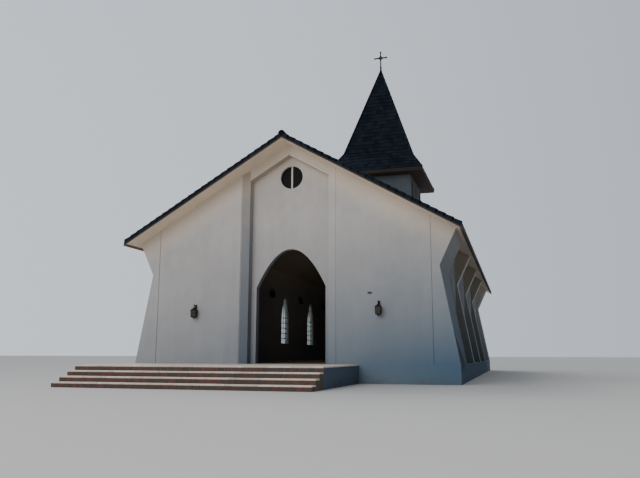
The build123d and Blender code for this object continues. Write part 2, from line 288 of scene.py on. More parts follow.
# painted warm light on the belfry's faces turned to the right
belfryPlaster = makeStucco("belfryPlaster", cream=(0.150, 0.175, 0.205),
                           shadeCream=(0.110, 0.128, 0.150), runs=0.6, warmShare=0.0,
                           weatheredTop=(1.0, 0.90, 0.76))

tileLook = {
    "dark": (0.005, 0.009, 0.016),
    "pale": (0.014, 0.023, 0.038),
    "dust": (0.045, 0.050, 0.056),
    "dustShare": 0.25,
    "wear": (9, 6, 0.65),
    "blotches": (0.7, 3),
    "grit": (60, 5, 0.7),
}


def makeRoofTile(name, look):
    mat = newMaterial(name, Roughness=0.7, Specular_IOR_Level=0.13)
    flat = place(mat)
    worn = noise(mat, flat, *look["wear"])
    colour = mix(mat, perPiece(mat), look["dark"], look["pale"])
    colour = mix(mat, spread(mat, worn, 0.56, 0.78, 0, look["dustShare"]), colour, look["dust"])
    colour = shade(mat, 1.0, colour, noise(mat, flat, *look["blotches"]), (0.35, 0.75), (0.7, 1.15))
    return dress(mat, colour, worn, (0.6, 0.85), noise(mat, flat, *look["grit"]))


roofTile = makeRoofTile("roofTile", tileLook)

woodLook = {
    "bead": ((0.060, 0.034, 0.034), (0.11, 0.066, 0.062)),
    "strip": ((0.13, 0.062, 0.036), (0.24, 0.125, 0.075)),
    "soffit": ((0.030, 0.019, 0.013), (0.085, 0.046, 0.027)),
    "under": ((0.012, 0.011, 0.012), (0.026, 0.024, 0.024)),
    "alongX": (1.2, 14, 14),               # stretch of the grain
    "alongY": (14, 1.2, 14),
    "fibre": (3, 8, 0.7),
    "blotches": (1.1, 3),
}


def makeWood(name, tones, grain="alongX"):
    mat = newMaterial(name, Roughness=0.65, Specular_IOR_Level=0.35)
    fibre = noise(mat, place(mat, woodLook[grain]), *woodLook["fibre"])
    blotches = noise(mat, place(mat), *woodLook["blotches"])
    colour = mix(mat, spread(mat, fibre, 0.3, 0.7), *woodLook[tones])
    colour = shade(mat, 1.0, colour, blotches, (0.3, 0.8), (0.7, 1.15))
    colour = shade(mat, 1.0, colour, perPiece(mat), (0, 0.8), (1, 1.15))
    return dress(mat, colour, fibre, (0.5, 0.8), fibre, 0.25)


beadWood = makeWood("beadWood", "bead")
stripWood = makeWood("stripWood", "strip", "alongY")
soffitWood = makeWood("soffitWood", "soffit")
underWood = makeWood("underWood", "under")
eaveWood = makeWood("eaveWood", "under", "alongY")

stoneLook = {
    "paving": ((0.84, 0.75, 0.64), (0.71, 0.58, 0.49), (0.41, 0.35, 0.30)),      # pale, rosy, stained
    "nave": ((0.34, 0.26, 0.20), (0.27, 0.18, 0.14), (0.16, 0.12, 0.09)),
    "mortar": ((0.12, 0.105, 0.09), (0.09, 0.078, 0.066), (0.05, 0.045, 0.04)),
    "veins": (5, 8, 0.65),
    "spots": (1.4, 5, 0.6),
    "stainShare": 0.5,
    "grit": (38, 6, 0.7),
}


def makeStone(name, kind):
    pale, rosy, stained = stoneLook[kind]
    mat = newMaterial(name, Roughness=0.75, Specular_IOR_Level=0.35)
    flat = place(mat)
    veins, spots = noise(mat, flat, *stoneLook["veins"]), noise(mat, flat, *stoneLook["spots"])
    colour = mix(mat, spread(mat, veins, 0.38, 0.66), pale, rosy)
    colour = shade(mat, 1.0, colour, perPiece(mat), (0, 0.86), (1, 1.1))
    colour = mix(mat, spread(mat, spots, 0.55, 0.75, 0, stoneLook["stainShare"]), colour, stained)
    return dress(mat, colour, veins, (0.6, 0.85), noise(mat, flat, *stoneLook["grit"]))


pavingStone = makeStone("pavingStone", "paving")
naveStone = makeStone("naveStone", "nave")
mortar = makeStone("mortar", "mortar")

brickLook = {
    "red": (0.165, 0.070, 0.062),
    "brown": (0.115, 0.074, 0.062),
    "grey": (0.090, 0.074, 0.066),
    "greyShare": 0.6,
    "patches": (7, 6, 0.6),
    "patchShare": 0.7,
    "grit": (70, 6, 0.75),
}


def makeBrick(name, look):
    mat = newMaterial(name, Roughness=0.85, Specular_IOR_Level=0.25)
    flat = place(mat)
    patch = noise(mat, flat, *look["patches"])
    colour = ramp(mat, perPiece(mat), (0, look["red"]), (0.5, look["brown"]), (1, look["grey"]))
    colour = mix(mat, spread(mat, patch, 0.45, 0.7, 0, look["greyShare"]), colour, look["grey"])
    colour = shade(mat, look["patchShare"], colour, patch, (0.3, 0.75), (0.7, 1.2))
    return dress(mat, colour, patch, (0.75, 0.95), noise(mat, flat, *look["grit"]), 0.5)


riserBrick = makeBrick("riserBrick", brickLook)

metalLook = {
    "iron": ((0.022, 0.024, 0.027), (0.10, 0.05, 0.03)),
    "bronze": ((0.016, 0.013, 0.011), (0.05, 0.035, 0.022)),
    "wear": (26, 6, 0.65),
    "grit": (160, 4, 0.6),
}


def makeMetal(name, metal, rustFrom):
    mat = newMaterial(name, Metallic=0.6, Roughness=0.5)
    flat = place(mat)
    wear = noise(mat, flat, *metalLook["wear"])
    colour = mix(mat, spread(mat, wear, rustFrom, rustFrom + 0.2), *metalLook[metal])
    return dress(mat, colour, wear, (0.38, 0.68), noise(mat, flat, *metalLook["grit"]), 0.25, 0.001)


crossIron = makeMetal("crossIron", "iron", rustFrom=0.5)
lanternBronze = makeMetal("lanternBronze", "bronze", rustFrom=0.55)

glassLook = {
    "window": (0.90, 0.98, 0.96),
    # painted shade: near-black for the unlit inside seen through the round window
    "dusk": (0.004, 0.0035, 0.004),
    "lantern": (0.075, 0.066, 0.052),
    "dust": (6, 5, 0.6),
    "dustTone": 0.8,                       # of the clean tone
}


def makeGlass(name, kind, rough, clear, gloss):
    mat = newMaterial(name, Roughness=rough, IOR=1.45, Transmission_Weight=clear, Specular_IOR_Level=gloss)
    tone = glassLook[kind]
    dust = noise(mat, place(mat), *glassLook["dust"])
    dusty = [channel * glassLook["dustTone"] for channel in tone]
    colour = mix(mat, spread(mat, dust, 0.35, 0.7), tone, dusty)
    return dress(mat, colour, dust, (rough, rough + 0.1))


windowGlass = makeGlass("windowGlass", "window", rough=0.04, clear=0.92, gloss=0.5)
# painted shade: an opaque near-black pane in place of the unlit inside
duskGlass = makeGlass("duskGlass", "dusk", rough=0.2, clear=0.0, gloss=0.06)
lanternGlass = makeGlass("lanternGlass", "lantern", rough=0.25, clear=0.3, gloss=0.3)

paintLook = {
    "white": ((0.60, 0.60, 0.58), (0.38, 0.37, 0.34)),         # fresh and chipped
    "dark": ((0.035, 0.03, 0.028), (0.08, 0.06, 0.045)),
    "wear": (18, 6, 0.65),
    "chipShare": 0.5,
}


def makePaint(name, kind):
    mat = newMaterial(name, Roughness=0.45, Specular_IOR_Level=0.45)
    wear = noise(mat, place(mat), *paintLook["wear"])
    chips = spread(mat, wear, 0.55, 0.72, 0, paintLook["chipShare"])
    return dress(mat, mix(mat, chips, *paintLook[kind]), wear, (0.38, 0.6), wear, 0.12, 0.002)


whitePaint = makePaint("whitePaint", "white")
darkPaint = makePaint("darkPaint", "dark")
print("materials made")

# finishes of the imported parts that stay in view
partFinish = {name: stucco for name in ("entrance_arch", "gable_head", "rear_wall", "podium", "landing")}
sideFinish = {
    "front_wall": stucco, "pilaster": stucco, "entrance_jamb": stucco, "side_wall": stucco,
    "front_pier": stucco, "rear_pier": stucco, "fins": finPlaster, "belfry": belfryPlaster,
    "roof_deck": soffitPlaster, "eave_board": eaveWood, "window_glass": windowGlass,
}
for family, finish in sideFinish.items():
    partFinish.update({family + "_right": finish, family + "_left": finish})
partFinish.update({"belfry_front": belfryPlaster, "belfry_rear": belfryPlaster, "step_risers": mortar,
                   "round_window_glass": duskGlass, "round_window_bars": whitePaint})
for name, finish in partFinish.items():
    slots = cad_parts[name].data.materials
    slots.clear()
    slots.append(finish)
print("finishes set on", len(partFinish), "packed parts")


# small tools for shapes
def axesMatrix(origin, across, up, out):
    matrix = Matrix((across, up, out)).transposed().to_4x4()
    matrix.translation = origin
    return matrix


def chamfer(build, edges, offset, segments=1):
    bmesh.ops.bevel(build, geom=edges, offset=offset, affect="EDGES", segments=segments, profile=0.5,
                    material=-1)


def addBlock(build, low, high, bevel=0.0):
    low, high = Vector(low), Vector(high)
    corners = bmesh.ops.create_cube(build, size=1.0)["verts"]
    bmesh.ops.scale(build, vec=high - low, verts=corners)
    bmesh.ops.translate(build, vec=(low + high) / 2, verts=corners)
    if bevel:
        chamfer(build, list({edge for corner in corners for edge in corner.link_edges}), bevel)


def extruded(build, faces, direction):
    grown = bmesh.ops.extrude_face_region(build, geom=faces)["geom"]
    tops = [item for item in grown if isinstance(item, bmesh.types.BMVert)]
    bmesh.ops.translate(build, vec=direction, verts=tops)


def addPrism(build, points, direction):
    extruded(build, [build.faces.new([build.verts.new(point) for point in points])], direction)


# square, with its faces along X and Y
def addFrustum(build, halfLow, halfHigh, low, high):
    made = bmesh.ops.create_cone(build, cap_ends=True, segments=4, radius1=halfLow * math.sqrt(2),
                                 radius2=halfHigh * math.sqrt(2), depth=high - low)["verts"]
    bmesh.ops.rotate(build, cent=(0, 0, 0), matrix=Matrix.Rotation(math.pi / 4, 3, "Z"), verts=made)
    bmesh.ops.translate(build, vec=(0, 0, (low + high) / 2), verts=made)
    return made


def shapeFrom(build, name="shape", recalc=True):
    if recalc:
        bmesh.ops.recalc_face_normals(build, faces=build.faces)
    mesh = bpy.data.meshes.new(name)
    build.to_mesh(mesh)
    build.free()
    return mesh


def stamp(build, shape, matrix):
    copy = shape.copy()
    copy.transform(matrix)
    build.from_mesh(copy)
    bpy.data.meshes.remove(copy)


def addObject(name, data):
    made = bpy.data.objects.new(name, data)
    bpy.context.collection.objects.link(made)
    return made


def newPiece(name, build, finish, replaced=(), recalc=True):
    mesh = shapeFrom(build, name, recalc)
    mesh.materials.append(finish)
    piece = addObject(name, mesh)
    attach(piece, "root")
    if replaced:
        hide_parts(*replaced)
    print(name, len(mesh.polygons), "faces")


# roof tiles
tileSizes = {
    "width": 0.30,
    "length": 0.39,
    "exposure": 0.30,
    "thickness": 0.022,
    "edge": 0.004,
    "joint": 0.001,        # half of it, on each side of a tile
    "below": 0.030,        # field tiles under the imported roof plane
    "firstRow": 0.006,     # above the eave
    "edgeRow": 0.004,      # the same for half tiles and verges
    "ridgeGap": 0.02,
    "slip": 0.004,         # how far a tile lies off its place, along the slope and out of it
    "lift": 0.003,
    "twist": 0.006,
    "vergeBelow": 0.005,
    "vergeThickness": 0.028,
    "vergeFlange": 0.13,
    "vergeFlangeUnder": 0.024,
    "vergeDrop": 0.118,
    "vergeRound": 0.01,
    "vergeIn": 0.001,
    "vergeSlip": 0.002,
    "vergeLength": 1.12,   # shares of the exposure and the tilt
    "vergeTilt": 1.15,
    "bedTop": 0.070,       # plumb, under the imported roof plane
    "bedInset": 0.02,
    "bedEaveInset": 0.006,
}


def tileShape(width, length, sizes):
    reach = width / 2 - sizes["joint"]
    build = bmesh.new()
    addBlock(build, (-reach, 0, -sizes["thickness"]), (reach, length, 0))
    tops = [edge for edge in build.edges if all(vert.co.z > -sizes["edge"] for vert in edge.verts)]
    chamfer(build, tops, sizes["edge"])
    return shapeFrom(build)


def tilted(base, across, up, out, tilt, turn=0.0):
    spot = Matrix.Translation((across, up, out))
    return base @ spot @ Matrix.Rotation(-tilt, 4, "X") @ Matrix.Rotation(turn, 4, "Z")


def roofAxes(side):
    up = Vector((-side * math.cos(roofAngle), 0, math.sin(roofAngle)))
    out = Vector((side * math.sin(roofAngle), 0, math.cos(roofAngle)))
    start = rakeFrontY if side > 0 else rakeRearY
    return axesMatrix(Vector((side * halfEave, start, eaveZ)), Vector((0, side, 0)), up, out)


def makeRoofSide(side, sizes):
    base = roofAxes(side)
    verge, below, slip, lift = sizes["vergeThickness"], sizes["below"], sizes["slip"], sizes["lift"]
    columns = round((rakeLength - 2 * verge) / sizes["width"])
    width = (rakeLength - 2 * verge) / columns
    rows = round(slopeLength / sizes["exposure"])
    exposure = (slopeLength - sizes["ridgeGap"]) / rows
    tilt = math.atan(sizes["thickness"] / exposure)
    whole, half = [tileShape(wide, sizes["length"], sizes) for wide in (width, width / 2)]
    lastWhole, lastHalf = [tileShape(wide, exposure, sizes) for wide in (width, width / 2)]
    build = bmesh.new()
    for row in range(rows):
        last = row == rows - 1
        odd = row % 2
        for column in range(columns - odd):
            across = verge + (column + 0.5 + 0.5 * odd) * width
            up = sizes["firstRow"] + row * exposure + dice.uniform(-slip, slip)
            out = -below + dice.uniform(-lift, lift)
            turn = dice.uniform(-sizes["twist"], sizes["twist"])
            stamp(build, lastWhole if last else whole, tilted(base, across, up, out, tilt, turn))
        if odd:
            for across in (verge + width / 4, rakeLength - verge - width / 4):
                spot = tilted(base, across, sizes["edgeRow"] + row * exposure, -below, tilt)
                stamp(build, lastHalf if last else half, spot)
    word = "right" if side > 0 else "left"
    newPiece("nave_tiles_" + word, build, roofTile, ["roof_tiles_" + word], recalc=False)
    return rows, exposure, tilt


def vergeShape(mirror, length, sizes):
    thick, flange, under = sizes["vergeThickness"], sizes["vergeFlange"], -sizes["vergeFlangeUnder"]
    drop = -sizes["vergeDrop"]
    outline = [(0, drop), (thick, drop), (thick, under), (flange, under), (flange, 0), (0, 0)]
    build = bmesh.new()
    addPrism(build, [(mirror * across, 0, out) for across, out in outline], (0, length, 0))
    outer = [edge for edge in build.edges
             if all(abs(vert.co.x) < 1e-5 and vert.co.z > -1e-5 for vert in edge.verts)]
    chamfer(build, outer, sizes["vergeRound"], 3)
    return shapeFrom(build)


def makeVerges(end, rows, exposure, tilt, sizes):
    slip, inset = sizes["vergeSlip"], sizes["vergeIn"]
    build = bmesh.new()
    for side in (1, -1):
        base = roofAxes(side)
        atStart = (end == "front") == (side > 0)
        shape = vergeShape(1 if atStart else -1, exposure * sizes["vergeLength"], sizes)
        for row in range(rows):
            across = inset if atStart else rakeLength - inset
            up = sizes["edgeRow"] + row * exposure + dice.uniform(-slip, slip)
            out = -sizes["vergeBelow"] - dice.uniform(0, sizes["lift"])
            stamp(build, shape, tilted(base, across, up, out, tilt * sizes["vergeTilt"]))
    newPiece(end + "_verge", build, roofTile)


def makeRoofBed(name, sizes):
    build = bmesh.new()
    inset, top = sizes["bedInset"], -sizes["bedTop"]
    edge = halfEave - sizes["bedEaveInset"]
    for side in (1, -1):
        outline = [(edge, -tileLayer), (edge, top), (0, top), (0, -tileLayer)]
        points = [(side * x, rakeFrontY + inset, roofTop(x) + drop) for x, drop in outline]
        addPrism(build, points, (0, rakeLength - 2 * inset, 0))
    newPiece(name, build, underWood)


for side in (1, -1):
    rows, exposure, tilt = makeRoofSide(side, tileSizes)
for end in ("front", "rear"):
    makeVerges(end, rows, exposure, tilt, tileSizes)
makeRoofBed("roof_battens", tileSizes)
print("roof tiled")

# boards along the rakes and eaves
edgeSizes = {
    "reach": 0.002,            # short of the edge of the tiles
    "board": 0.016,
    "boardRecess": 0.012,
    "boardUp": 0.004,          # from the underside of the deck, as for the bead
    "bead": 0.034,
    "beadDepth": 0.034,
    "beadRecess": 0.002,
    "beadUp": 0.001,
    "beadRound": 0.009,
    "strip": 0.085,
    "stripThickness": 0.016,
    "stripGap": 0.001,
    "stripSlant": 0.008,
    "stripOut": 0.032,         # in from the edge of the tiles
    "stripEnd": 0.04,
}


def chevron(y, upper, lower, sizes):
    reach = halfEave - sizes["reach"]
    outline = [(-reach, upper), (0, upper), (reach, upper), (reach, lower), (0, lower), (-reach, lower)]
    return [(x, y, roofTop(x) + drop) for x, drop in outline]


def makeRakeBoards(end, sizes):
    edge, inward = (rakeFrontY, 1) if end == "front" else (rakeRearY, -1)
    under = -tileLayer - deckLayer
    foot = under + sizes["beadUp"]
    board, bead = bmesh.new(), bmesh.new()
    outline = chevron(edge + inward * sizes["boardRecess"], -tileLayer, under + sizes["boardUp"], sizes)
    addPrism(board, outline, (0, inward * sizes["board"], 0))
    outline = chevron(edge + inward * sizes["beadRecess"], under + sizes["bead"], foot, sizes)
    addPrism(bead, outline, (0, inward * sizes["beadDepth"], 0))
    lower = [item for item in bead.edges if abs(item.verts[0].co.y - item.verts[1].co.y) < 1e-6
             and all(abs(vert.co.z - roofTop(vert.co.x) - foot) < 1e-4 for vert in item.verts)]
    chamfer(bead, lower, sizes["beadRound"], 3)
    newPiece(end + "_rake_board", board, underWood, [end + "_bargeboard"])
    newPiece(end + "_rake_bead", bead, beadWood)


def makeEaveStrips(name, sizes):
    outer = halfEave - sizes["stripOut"]
    inner = outer - sizes["strip"]
    gap, thick = -sizes["stripGap"], -sizes["stripThickness"]
    start = rakeFrontY + sizes["stripEnd"]
    under = -tileLayer - deckLayer
    build = bmesh.new()
    for side in (1, -1):
        outline = [(outer, gap), (inner, gap), (inner + sizes["stripSlant"], thick), (outer, thick)]
        points = [(side * x, start, roofTop(x) + under + drop) for x, drop in outline]
        addPrism(build, points, (0, rakeRearY - sizes["stripEnd"] - start, 0))
    newPiece(name, build, stripWood)


for end in ("front", "rear"):
    makeRakeBoards(end, edgeSizes)
makeEaveStrips("eave_strips", edgeSizes)
print("rakes and eaves edged")

# ridge tiles
ridgeSizes = {
    "radius": 0.125,
    "narrow": 0.112,
    "thickness": 0.016,
    "length": 0.40,
    "cover": 0.36,
    "arc": 210,                # degrees
    "sink": 0.078,
    "lean": 0.01,
    "startGap": 0.004,
    "endGap": 0.006,
    "spare": 0.04,
}


def capShape(sizes, steps=12):
    half = math.radians(sizes["arc"]) / 2
    thick = sizes["thickness"]
    section = [(sizes["radius"], 0), (sizes["radius"] - thick, 0),
               (sizes["narrow"] - thick, sizes["length"]), (sizes["narrow"], sizes["length"])]
    build = bmesh.new()
    corners = [build.verts.new((0, y, reach)) for reach, y in section]
    face = build.faces.new(corners)
    bmesh.ops.rotate(build, cent=(0, 0, 0), matrix=Matrix.Rotation(-half, 3, "Y"), verts=corners)
    bmesh.ops.spin(build, geom=[face] + list(face.edges) + corners, cent=(0, 0, 0), axis=(0, 1, 0),
                   angle=2 * half, steps=steps)
    return shapeFrom(build)


def makeRidge(name, sizes):
    towerLow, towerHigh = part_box("belfry_front")[0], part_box("belfry_rear")[1]
    gaps = sizes["startGap"] + sizes["endGap"]
    shape = capShape(sizes)
    build = bmesh.new()
    for start, end in ((rakeFrontY, towerLow.y), (towerHigh.y, rakeRearY)):
        count = int((end - start - sizes["spare"]) / sizes["cover"])
        pitch = (end - start - sizes["length"] - gaps) / (count - 1)
        for number in range(count):
            y = start + sizes["startGap"] + number * pitch
            lean = Matrix.Rotation(dice.uniform(-sizes["lean"], sizes["lean"]), 4, "X")
            stamp(build, shape, Matrix.Translation((0, y, ridgeZ - sizes["sink"])) @ lean)
    newPiece(name, build, roofTile, ["ridge_cap"], recalc=False)


makeRidge("ridge_tiles", ridgeSizes)

# spire
spireLow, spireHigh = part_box("spire")
skirtLow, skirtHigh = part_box("spire_skirt")
belfryY = (spireLow.y + spireHigh.y) / 2
spireSizes = {
    "eaveHalf": skirtHigh.x,
    "kinkHalf": spireHigh.x,
    "tipHalf": 0.045,
    "eaveZ": skirtLow.z + 0.17,
    "kinkZ": skirtHigh.z,
    "tipZ": spireHigh.z,
    "bedDepth": 0.055,
    "bedTip": 0.01,
    "exposure": 0.285,
    "slip": 0.003,
    "below": 0.002,
}
hipSizes = {"radius": 0.062, "narrow": 0.054, "thickness": 0.012, "length": 0.34, "cover": 0.30,
            "arc": 230, "sinkShare": 0.62}


# one of four sides, cut along the diagonals and turned into place
def stampQuarter(build, side, turn):
    for sign in (1, -1):
        bmesh.ops.bisect_plane(side, geom=side.verts[:] + side.edges[:] + side.faces[:],
                               plane_co=(0, 0, 0), plane_no=(sign, 1, 0), clear_outer=True)
        bmesh.ops.holes_fill(side, edges=[edge for edge in side.edges if edge.is_boundary], sides=0)
    mesh = shapeFrom(side)
    turned = Matrix.Rotation(turn * math.pi / 2, 4, "Z")
    stamp(build, mesh, Matrix.Translation((0, belfryY, 0)) @ turned)
    bpy.data.meshes.remove(mesh)


def makeSpireTiles(name, stage, replaced, sizes, tiles):
    lowHalf, lowZ, highHalf, highZ = stage
    run, rise = lowHalf - highHalf, highZ - lowZ
    length = math.hypot(run, rise)
    base = axesMatrix(Vector((0, -lowHalf, lowZ)), Vector((1, 0, 0)), Vector((0, run, rise)) / length,
                      Vector((0, -rise, run)) / length)
    rows = max(1, round(length / sizes["exposure"]))
    exposure = length / rows
    tilt = math.atan(tiles["thickness"] / exposure)
    shape = tileShape(tiles["width"], tiles["length"], tiles)
    lastShape = tileShape(tiles["width"], exposure, tiles)
    slip, twist = sizes["slip"], tiles["twist"]
    build = bmesh.new()
    for turn in range(4):
        side = bmesh.new()
        for row in range(rows):
            half = lowHalf - run * row / rows
            count = math.ceil(half / tiles["width"]) + 1
            for column in range(-count, count + 1):
                centre = (column + 0.5 * (row % 2)) * tiles["width"]
                if abs(centre) - tiles["width"] / 2 > half:
                    continue
                up = row * exposure + dice.uniform(-slip, slip)
                out = -sizes["below"] + dice.uniform(-slip, 0.0)
                spot = tilted(base, centre, up, out, tilt, dice.uniform(-twist, twist))
                stamp(side, lastShape if row == rows - 1 else shape, spot)
        stampQuarter(build, side, turn)
    newPiece(name, build, roofTile, replaced)


def makeSpireBed(name, stages, sizes):
    build = bmesh.new()
    depth = sizes["bedDepth"]
    for lowHalf, lowZ, highHalf, highZ in stages:
        tip = max(highHalf - depth, sizes["bedTip"])
        verts = addFrustum(build, lowHalf - depth, tip, lowZ, highZ)
        bmesh.ops.translate(build, vec=(0, belfryY, 0), verts=verts)
    newPiece(name, build, underWood)


def makeHips(name, stages, sizes):
    shape = capShape(sizes, 8)
    sink = sizes["radius"] * sizes["sinkShare"]
    build = bmesh.new()
    for lowHalf, lowZ, highHalf, highZ in stages:
        for signX, signY in fourCorners:
            low = Vector((signX * lowHalf, belfryY + signY * lowHalf, lowZ))
            high = Vector((signX * highHalf, belfryY + signY * highHalf, highZ))
            up = (high - low).normalized()
            flat = Vector((signX, signY, 0)).normalized()
            out = (flat - up * flat.dot(up)).normalized()
            count = max(2, round((high - low).length / sizes["cover"]))
            for number in range(count):
                start = low + (high - low) * (number / count) - out * sink
                stamp(build, shape, axesMatrix(start, up.cross(out), up, out))
    newPiece(name, build, roofTile, recalc=False)


skirtStage, spireStage = [tuple(spireSizes[key] for key in keys.split())
                          for keys in ("eaveHalf eaveZ kinkHalf kinkZ", "kinkHalf kinkZ tipHalf tipZ")]
makeSpireTiles("skirt_tiles", skirtStage, ["spire_skirt"], spireSizes, tileSizes)
makeSpireTiles("spire_tiles", spireStage, ["spire"], spireSizes, tileSizes)
makeSpireBed("spire_boarding", (skirtStage, spireStage), spireSizes)
makeHips("spire_hips", (skirtStage, spireStage), hipSizes)
print("spire tiled")

# boards under the spire
boardSizes = {
    "width": 0.115,
    "gap": 0.006,
    "thickness": 0.022,
    "edge": 0.003,
    "lift": 0.002,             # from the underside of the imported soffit
    "fascia": 0.03,
    "fasciaIn": 0.004,
    "fasciaEdge": 0.004,
    "fasciaBelowTiles": 0.03,
}


def makeSpireSoffit(name, sizes):
    low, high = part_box("spire_soffit")
    half = high.x
    pitch = sizes["width"] + sizes["gap"]
    foot, top = low.z + sizes["lift"], low.z + sizes["thickness"]
    build = bmesh.new()
    for turn in range(4):
        side = bmesh.new()
        for number in range(math.ceil(half / pitch)):
            y = -half + number * pitch
            addBlock(side, (-half, y, foot), (half, y + sizes["width"], top), sizes["edge"])
        stampQuarter(build, side, turn)
    addBlock(build, (-half, belfryY - half, top + sizes["lift"]), (half, belfryY + half, high.z))
    newPiece(name, build, soffitWood, ["spire_soffit"])


def makeSpireFascia(name, sizes):
    low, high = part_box("spire_skirt")
    inner, reach, edge = high.x - sizes["fascia"], high.x - sizes["fasciaIn"], sizes["fasciaEdge"]
    foot, top = low.z, spireSizes["eaveZ"] - sizes["fasciaBelowTiles"]
    build = bmesh.new()
    for sign in (1, -1):
        near, far = sorted((sign * reach, sign * inner))
        addBlock(build, (-reach, belfryY + near, foot), (reach, belfryY + far, top), edge)
        addBlock(build, (near, belfryY - inner, foot), (far, belfryY + inner, top), edge)
    newPiece(name, build, underWood)


makeSpireSoffit("spire_soffit_boards", boardSizes)
makeSpireFascia("spire_fascia", boardSizes)

# steps and landing
stepSizes = {
    "slab": 0.78,
    "flag": 0.62,
    "frontFlag": 0.775,
    "joint": 0.007,
    "edge": 0.009,
    "stagger": 0.12,           # share of a slab that its joints wander
    "wobble": 0.008,
    "sag": 0.003,
    "brick": 0.228,
    "brickJoint": 0.009,
    "brickProud": 0.012,
    "brickDeep": 0.02,
    "brickUp": 0.004,
    "brickEdge": 0.004,
}


def slabRow(build, low, high, pitch, sizes, wobble):
    count = max(1, round((high.x - low.x) / pitch))
    marks = [low.x + (high.x - low.x) * number / count for number in range(count + 1)]
    for number in range(1, count):
        marks[number] += dice.uniform(-sizes["stagger"], sizes["stagger"]) * pitch
    gap = sizes["joint"] / 2
    for number in range(count):
        left = marks[number] + (gap if number else 0)
        right = marks[number + 1] - (gap if number < count - 1 else 0)
        front = low.y + dice.uniform(0, wobble)
        top = high.z - dice.uniform(0, sizes["sag"])
        addBlock(build, (left, front, low.z), (right, high.y, top), sizes["edge"])


def makeTreads(sizes):
    for number in (1, 2, 3):
        low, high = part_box(f"tread_{number}")
        build = bmesh.new()
        slabRow(build, low, high, sizes["slab"], sizes, sizes["wobble"])
        newPiece(f"tread_stones_{number}", build, pavingStone, [f"tread_{number}"])


def makeLandingStones(name, sizes):
    low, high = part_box("landing_paving")
    rows = round((high.y - low.y) / sizes["flag"])
    depth = (high.y - low.y) / rows
    build = bmesh.new()
    for row in range(rows):
        start = low.y + row * depth + (sizes["joint"] if row else 0)
        rowLow = Vector((low.x, start, low.z))
        rowHigh = Vector((high.x, low.y + (row + 1) * depth, high.z))
        pitch = sizes["flag" if row else "frontFlag"]
        slabRow(build, rowLow, rowHigh, pitch, sizes, 0 if row else sizes["wobble"])
    newPiece(name, build, pavingStone, ["landing_paving"])


def makeRiserBricks(name, sizes):
    treads = [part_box(f"tread_{number}") for number in (1, 2, 3)] + [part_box("landing_paving")]
    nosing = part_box("step_risers")[0].y - treads[0][0].y
    joint = sizes["brickJoint"]
    below = 0.0
    build = bmesh.new()
    for low, high in treads:
        face = low.y + nosing
        count = round((high.x - low.x) / sizes["brick"])
        pitch = (high.x - low.x) / count
        for number in range(count):
            left = low.x + number * pitch + joint / 2
            front = face - sizes["brickProud"] * dice.uniform(0.7, 1.0)
            top = low.z - joint * dice.uniform(0.6, 1.0)
            addBlock(build, (left, front, below + sizes["brickUp"]),
                     (left + pitch - joint, face + sizes["brickDeep"], top), sizes["brickEdge"])
        below = high.z
    newPiece(name, build, riserBrick)


makeTreads(stepSizes)
makeLandingStones("landing_stones", stepSizes)
makeRiserBricks("riser_bricks", stepSizes)
print("steps laid")

# nave floor
naveSizes = {
    "tile": 0.40,
    "jointShare": 0.985,       # a tile as a share of its place
    "thickness": 0.006,
    "lift": 0.0005,
    "gap": 0.002,              # to the walls
    "underArch": 0.25,
}


def makeNaveFloor(name, sizes):
    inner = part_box("side_wall_right")[0].x - sizes["gap"]
    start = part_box("entrance_arch")[1].y - sizes["underArch"]
    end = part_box("rear_wall")[0].y - sizes["gap"]
    build = bmesh.new()
    bmesh.ops.create_grid(build, x_segments=round(2 * inner / sizes["tile"]),
                          y_segments=round((end - start) / sizes["tile"]), size=0.5)
    bmesh.ops.scale(build, vec=(2 * inner, end - start, 1), verts=build.verts)
    top = floorZ + sizes["thickness"]
    bmesh.ops.translate(build, vec=(0, (start + end) / 2, top), verts=build.verts)
    bmesh.ops.split_edges(build, edges=build.edges)
    for face in build.faces:
        bmesh.ops.scale(build, vec=(sizes["jointShare"], sizes["jointShare"], 1), verts=face.verts,
                        space=Matrix.Translation(-face.calc_center_median()))
    extruded(build, build.faces[:], (0, 0, -sizes["thickness"] + sizes["lift"]))
    newPiece(name, build, naveStone)


makeNaveFloor("nave_floor", naveSizes)

# window frames
windowSizes = {
    "half": 0.598,
    "sill": 0.95,              # heights from the floor
    "spring": 2.40,
    "crown": 3.548,
    "frame": 0.045,
    "depth": 0.045,
    "bar": 0.032,
    "barRecess": 0.004,
    "barSpacing": 0.29,
    "barIn": 0.02,             # into the frame at the sill and sides, and under the crown
    "barUnderCrown": 0.03,
    "topBar": 2.45,            # no cross bar stands higher
}


def lancetPoints(sizes, steps=14):
    points = [(-sizes["half"], sizes["sill"]), (sizes["half"], sizes["sill"])]
    rise = sizes["crown"] - sizes["spring"]
    for number in range(steps + 1):
        share = 1 - 2 * number / steps
        points.append((sizes["half"] * share, sizes["spring"] + rise * (1 - share * share)))
    return points


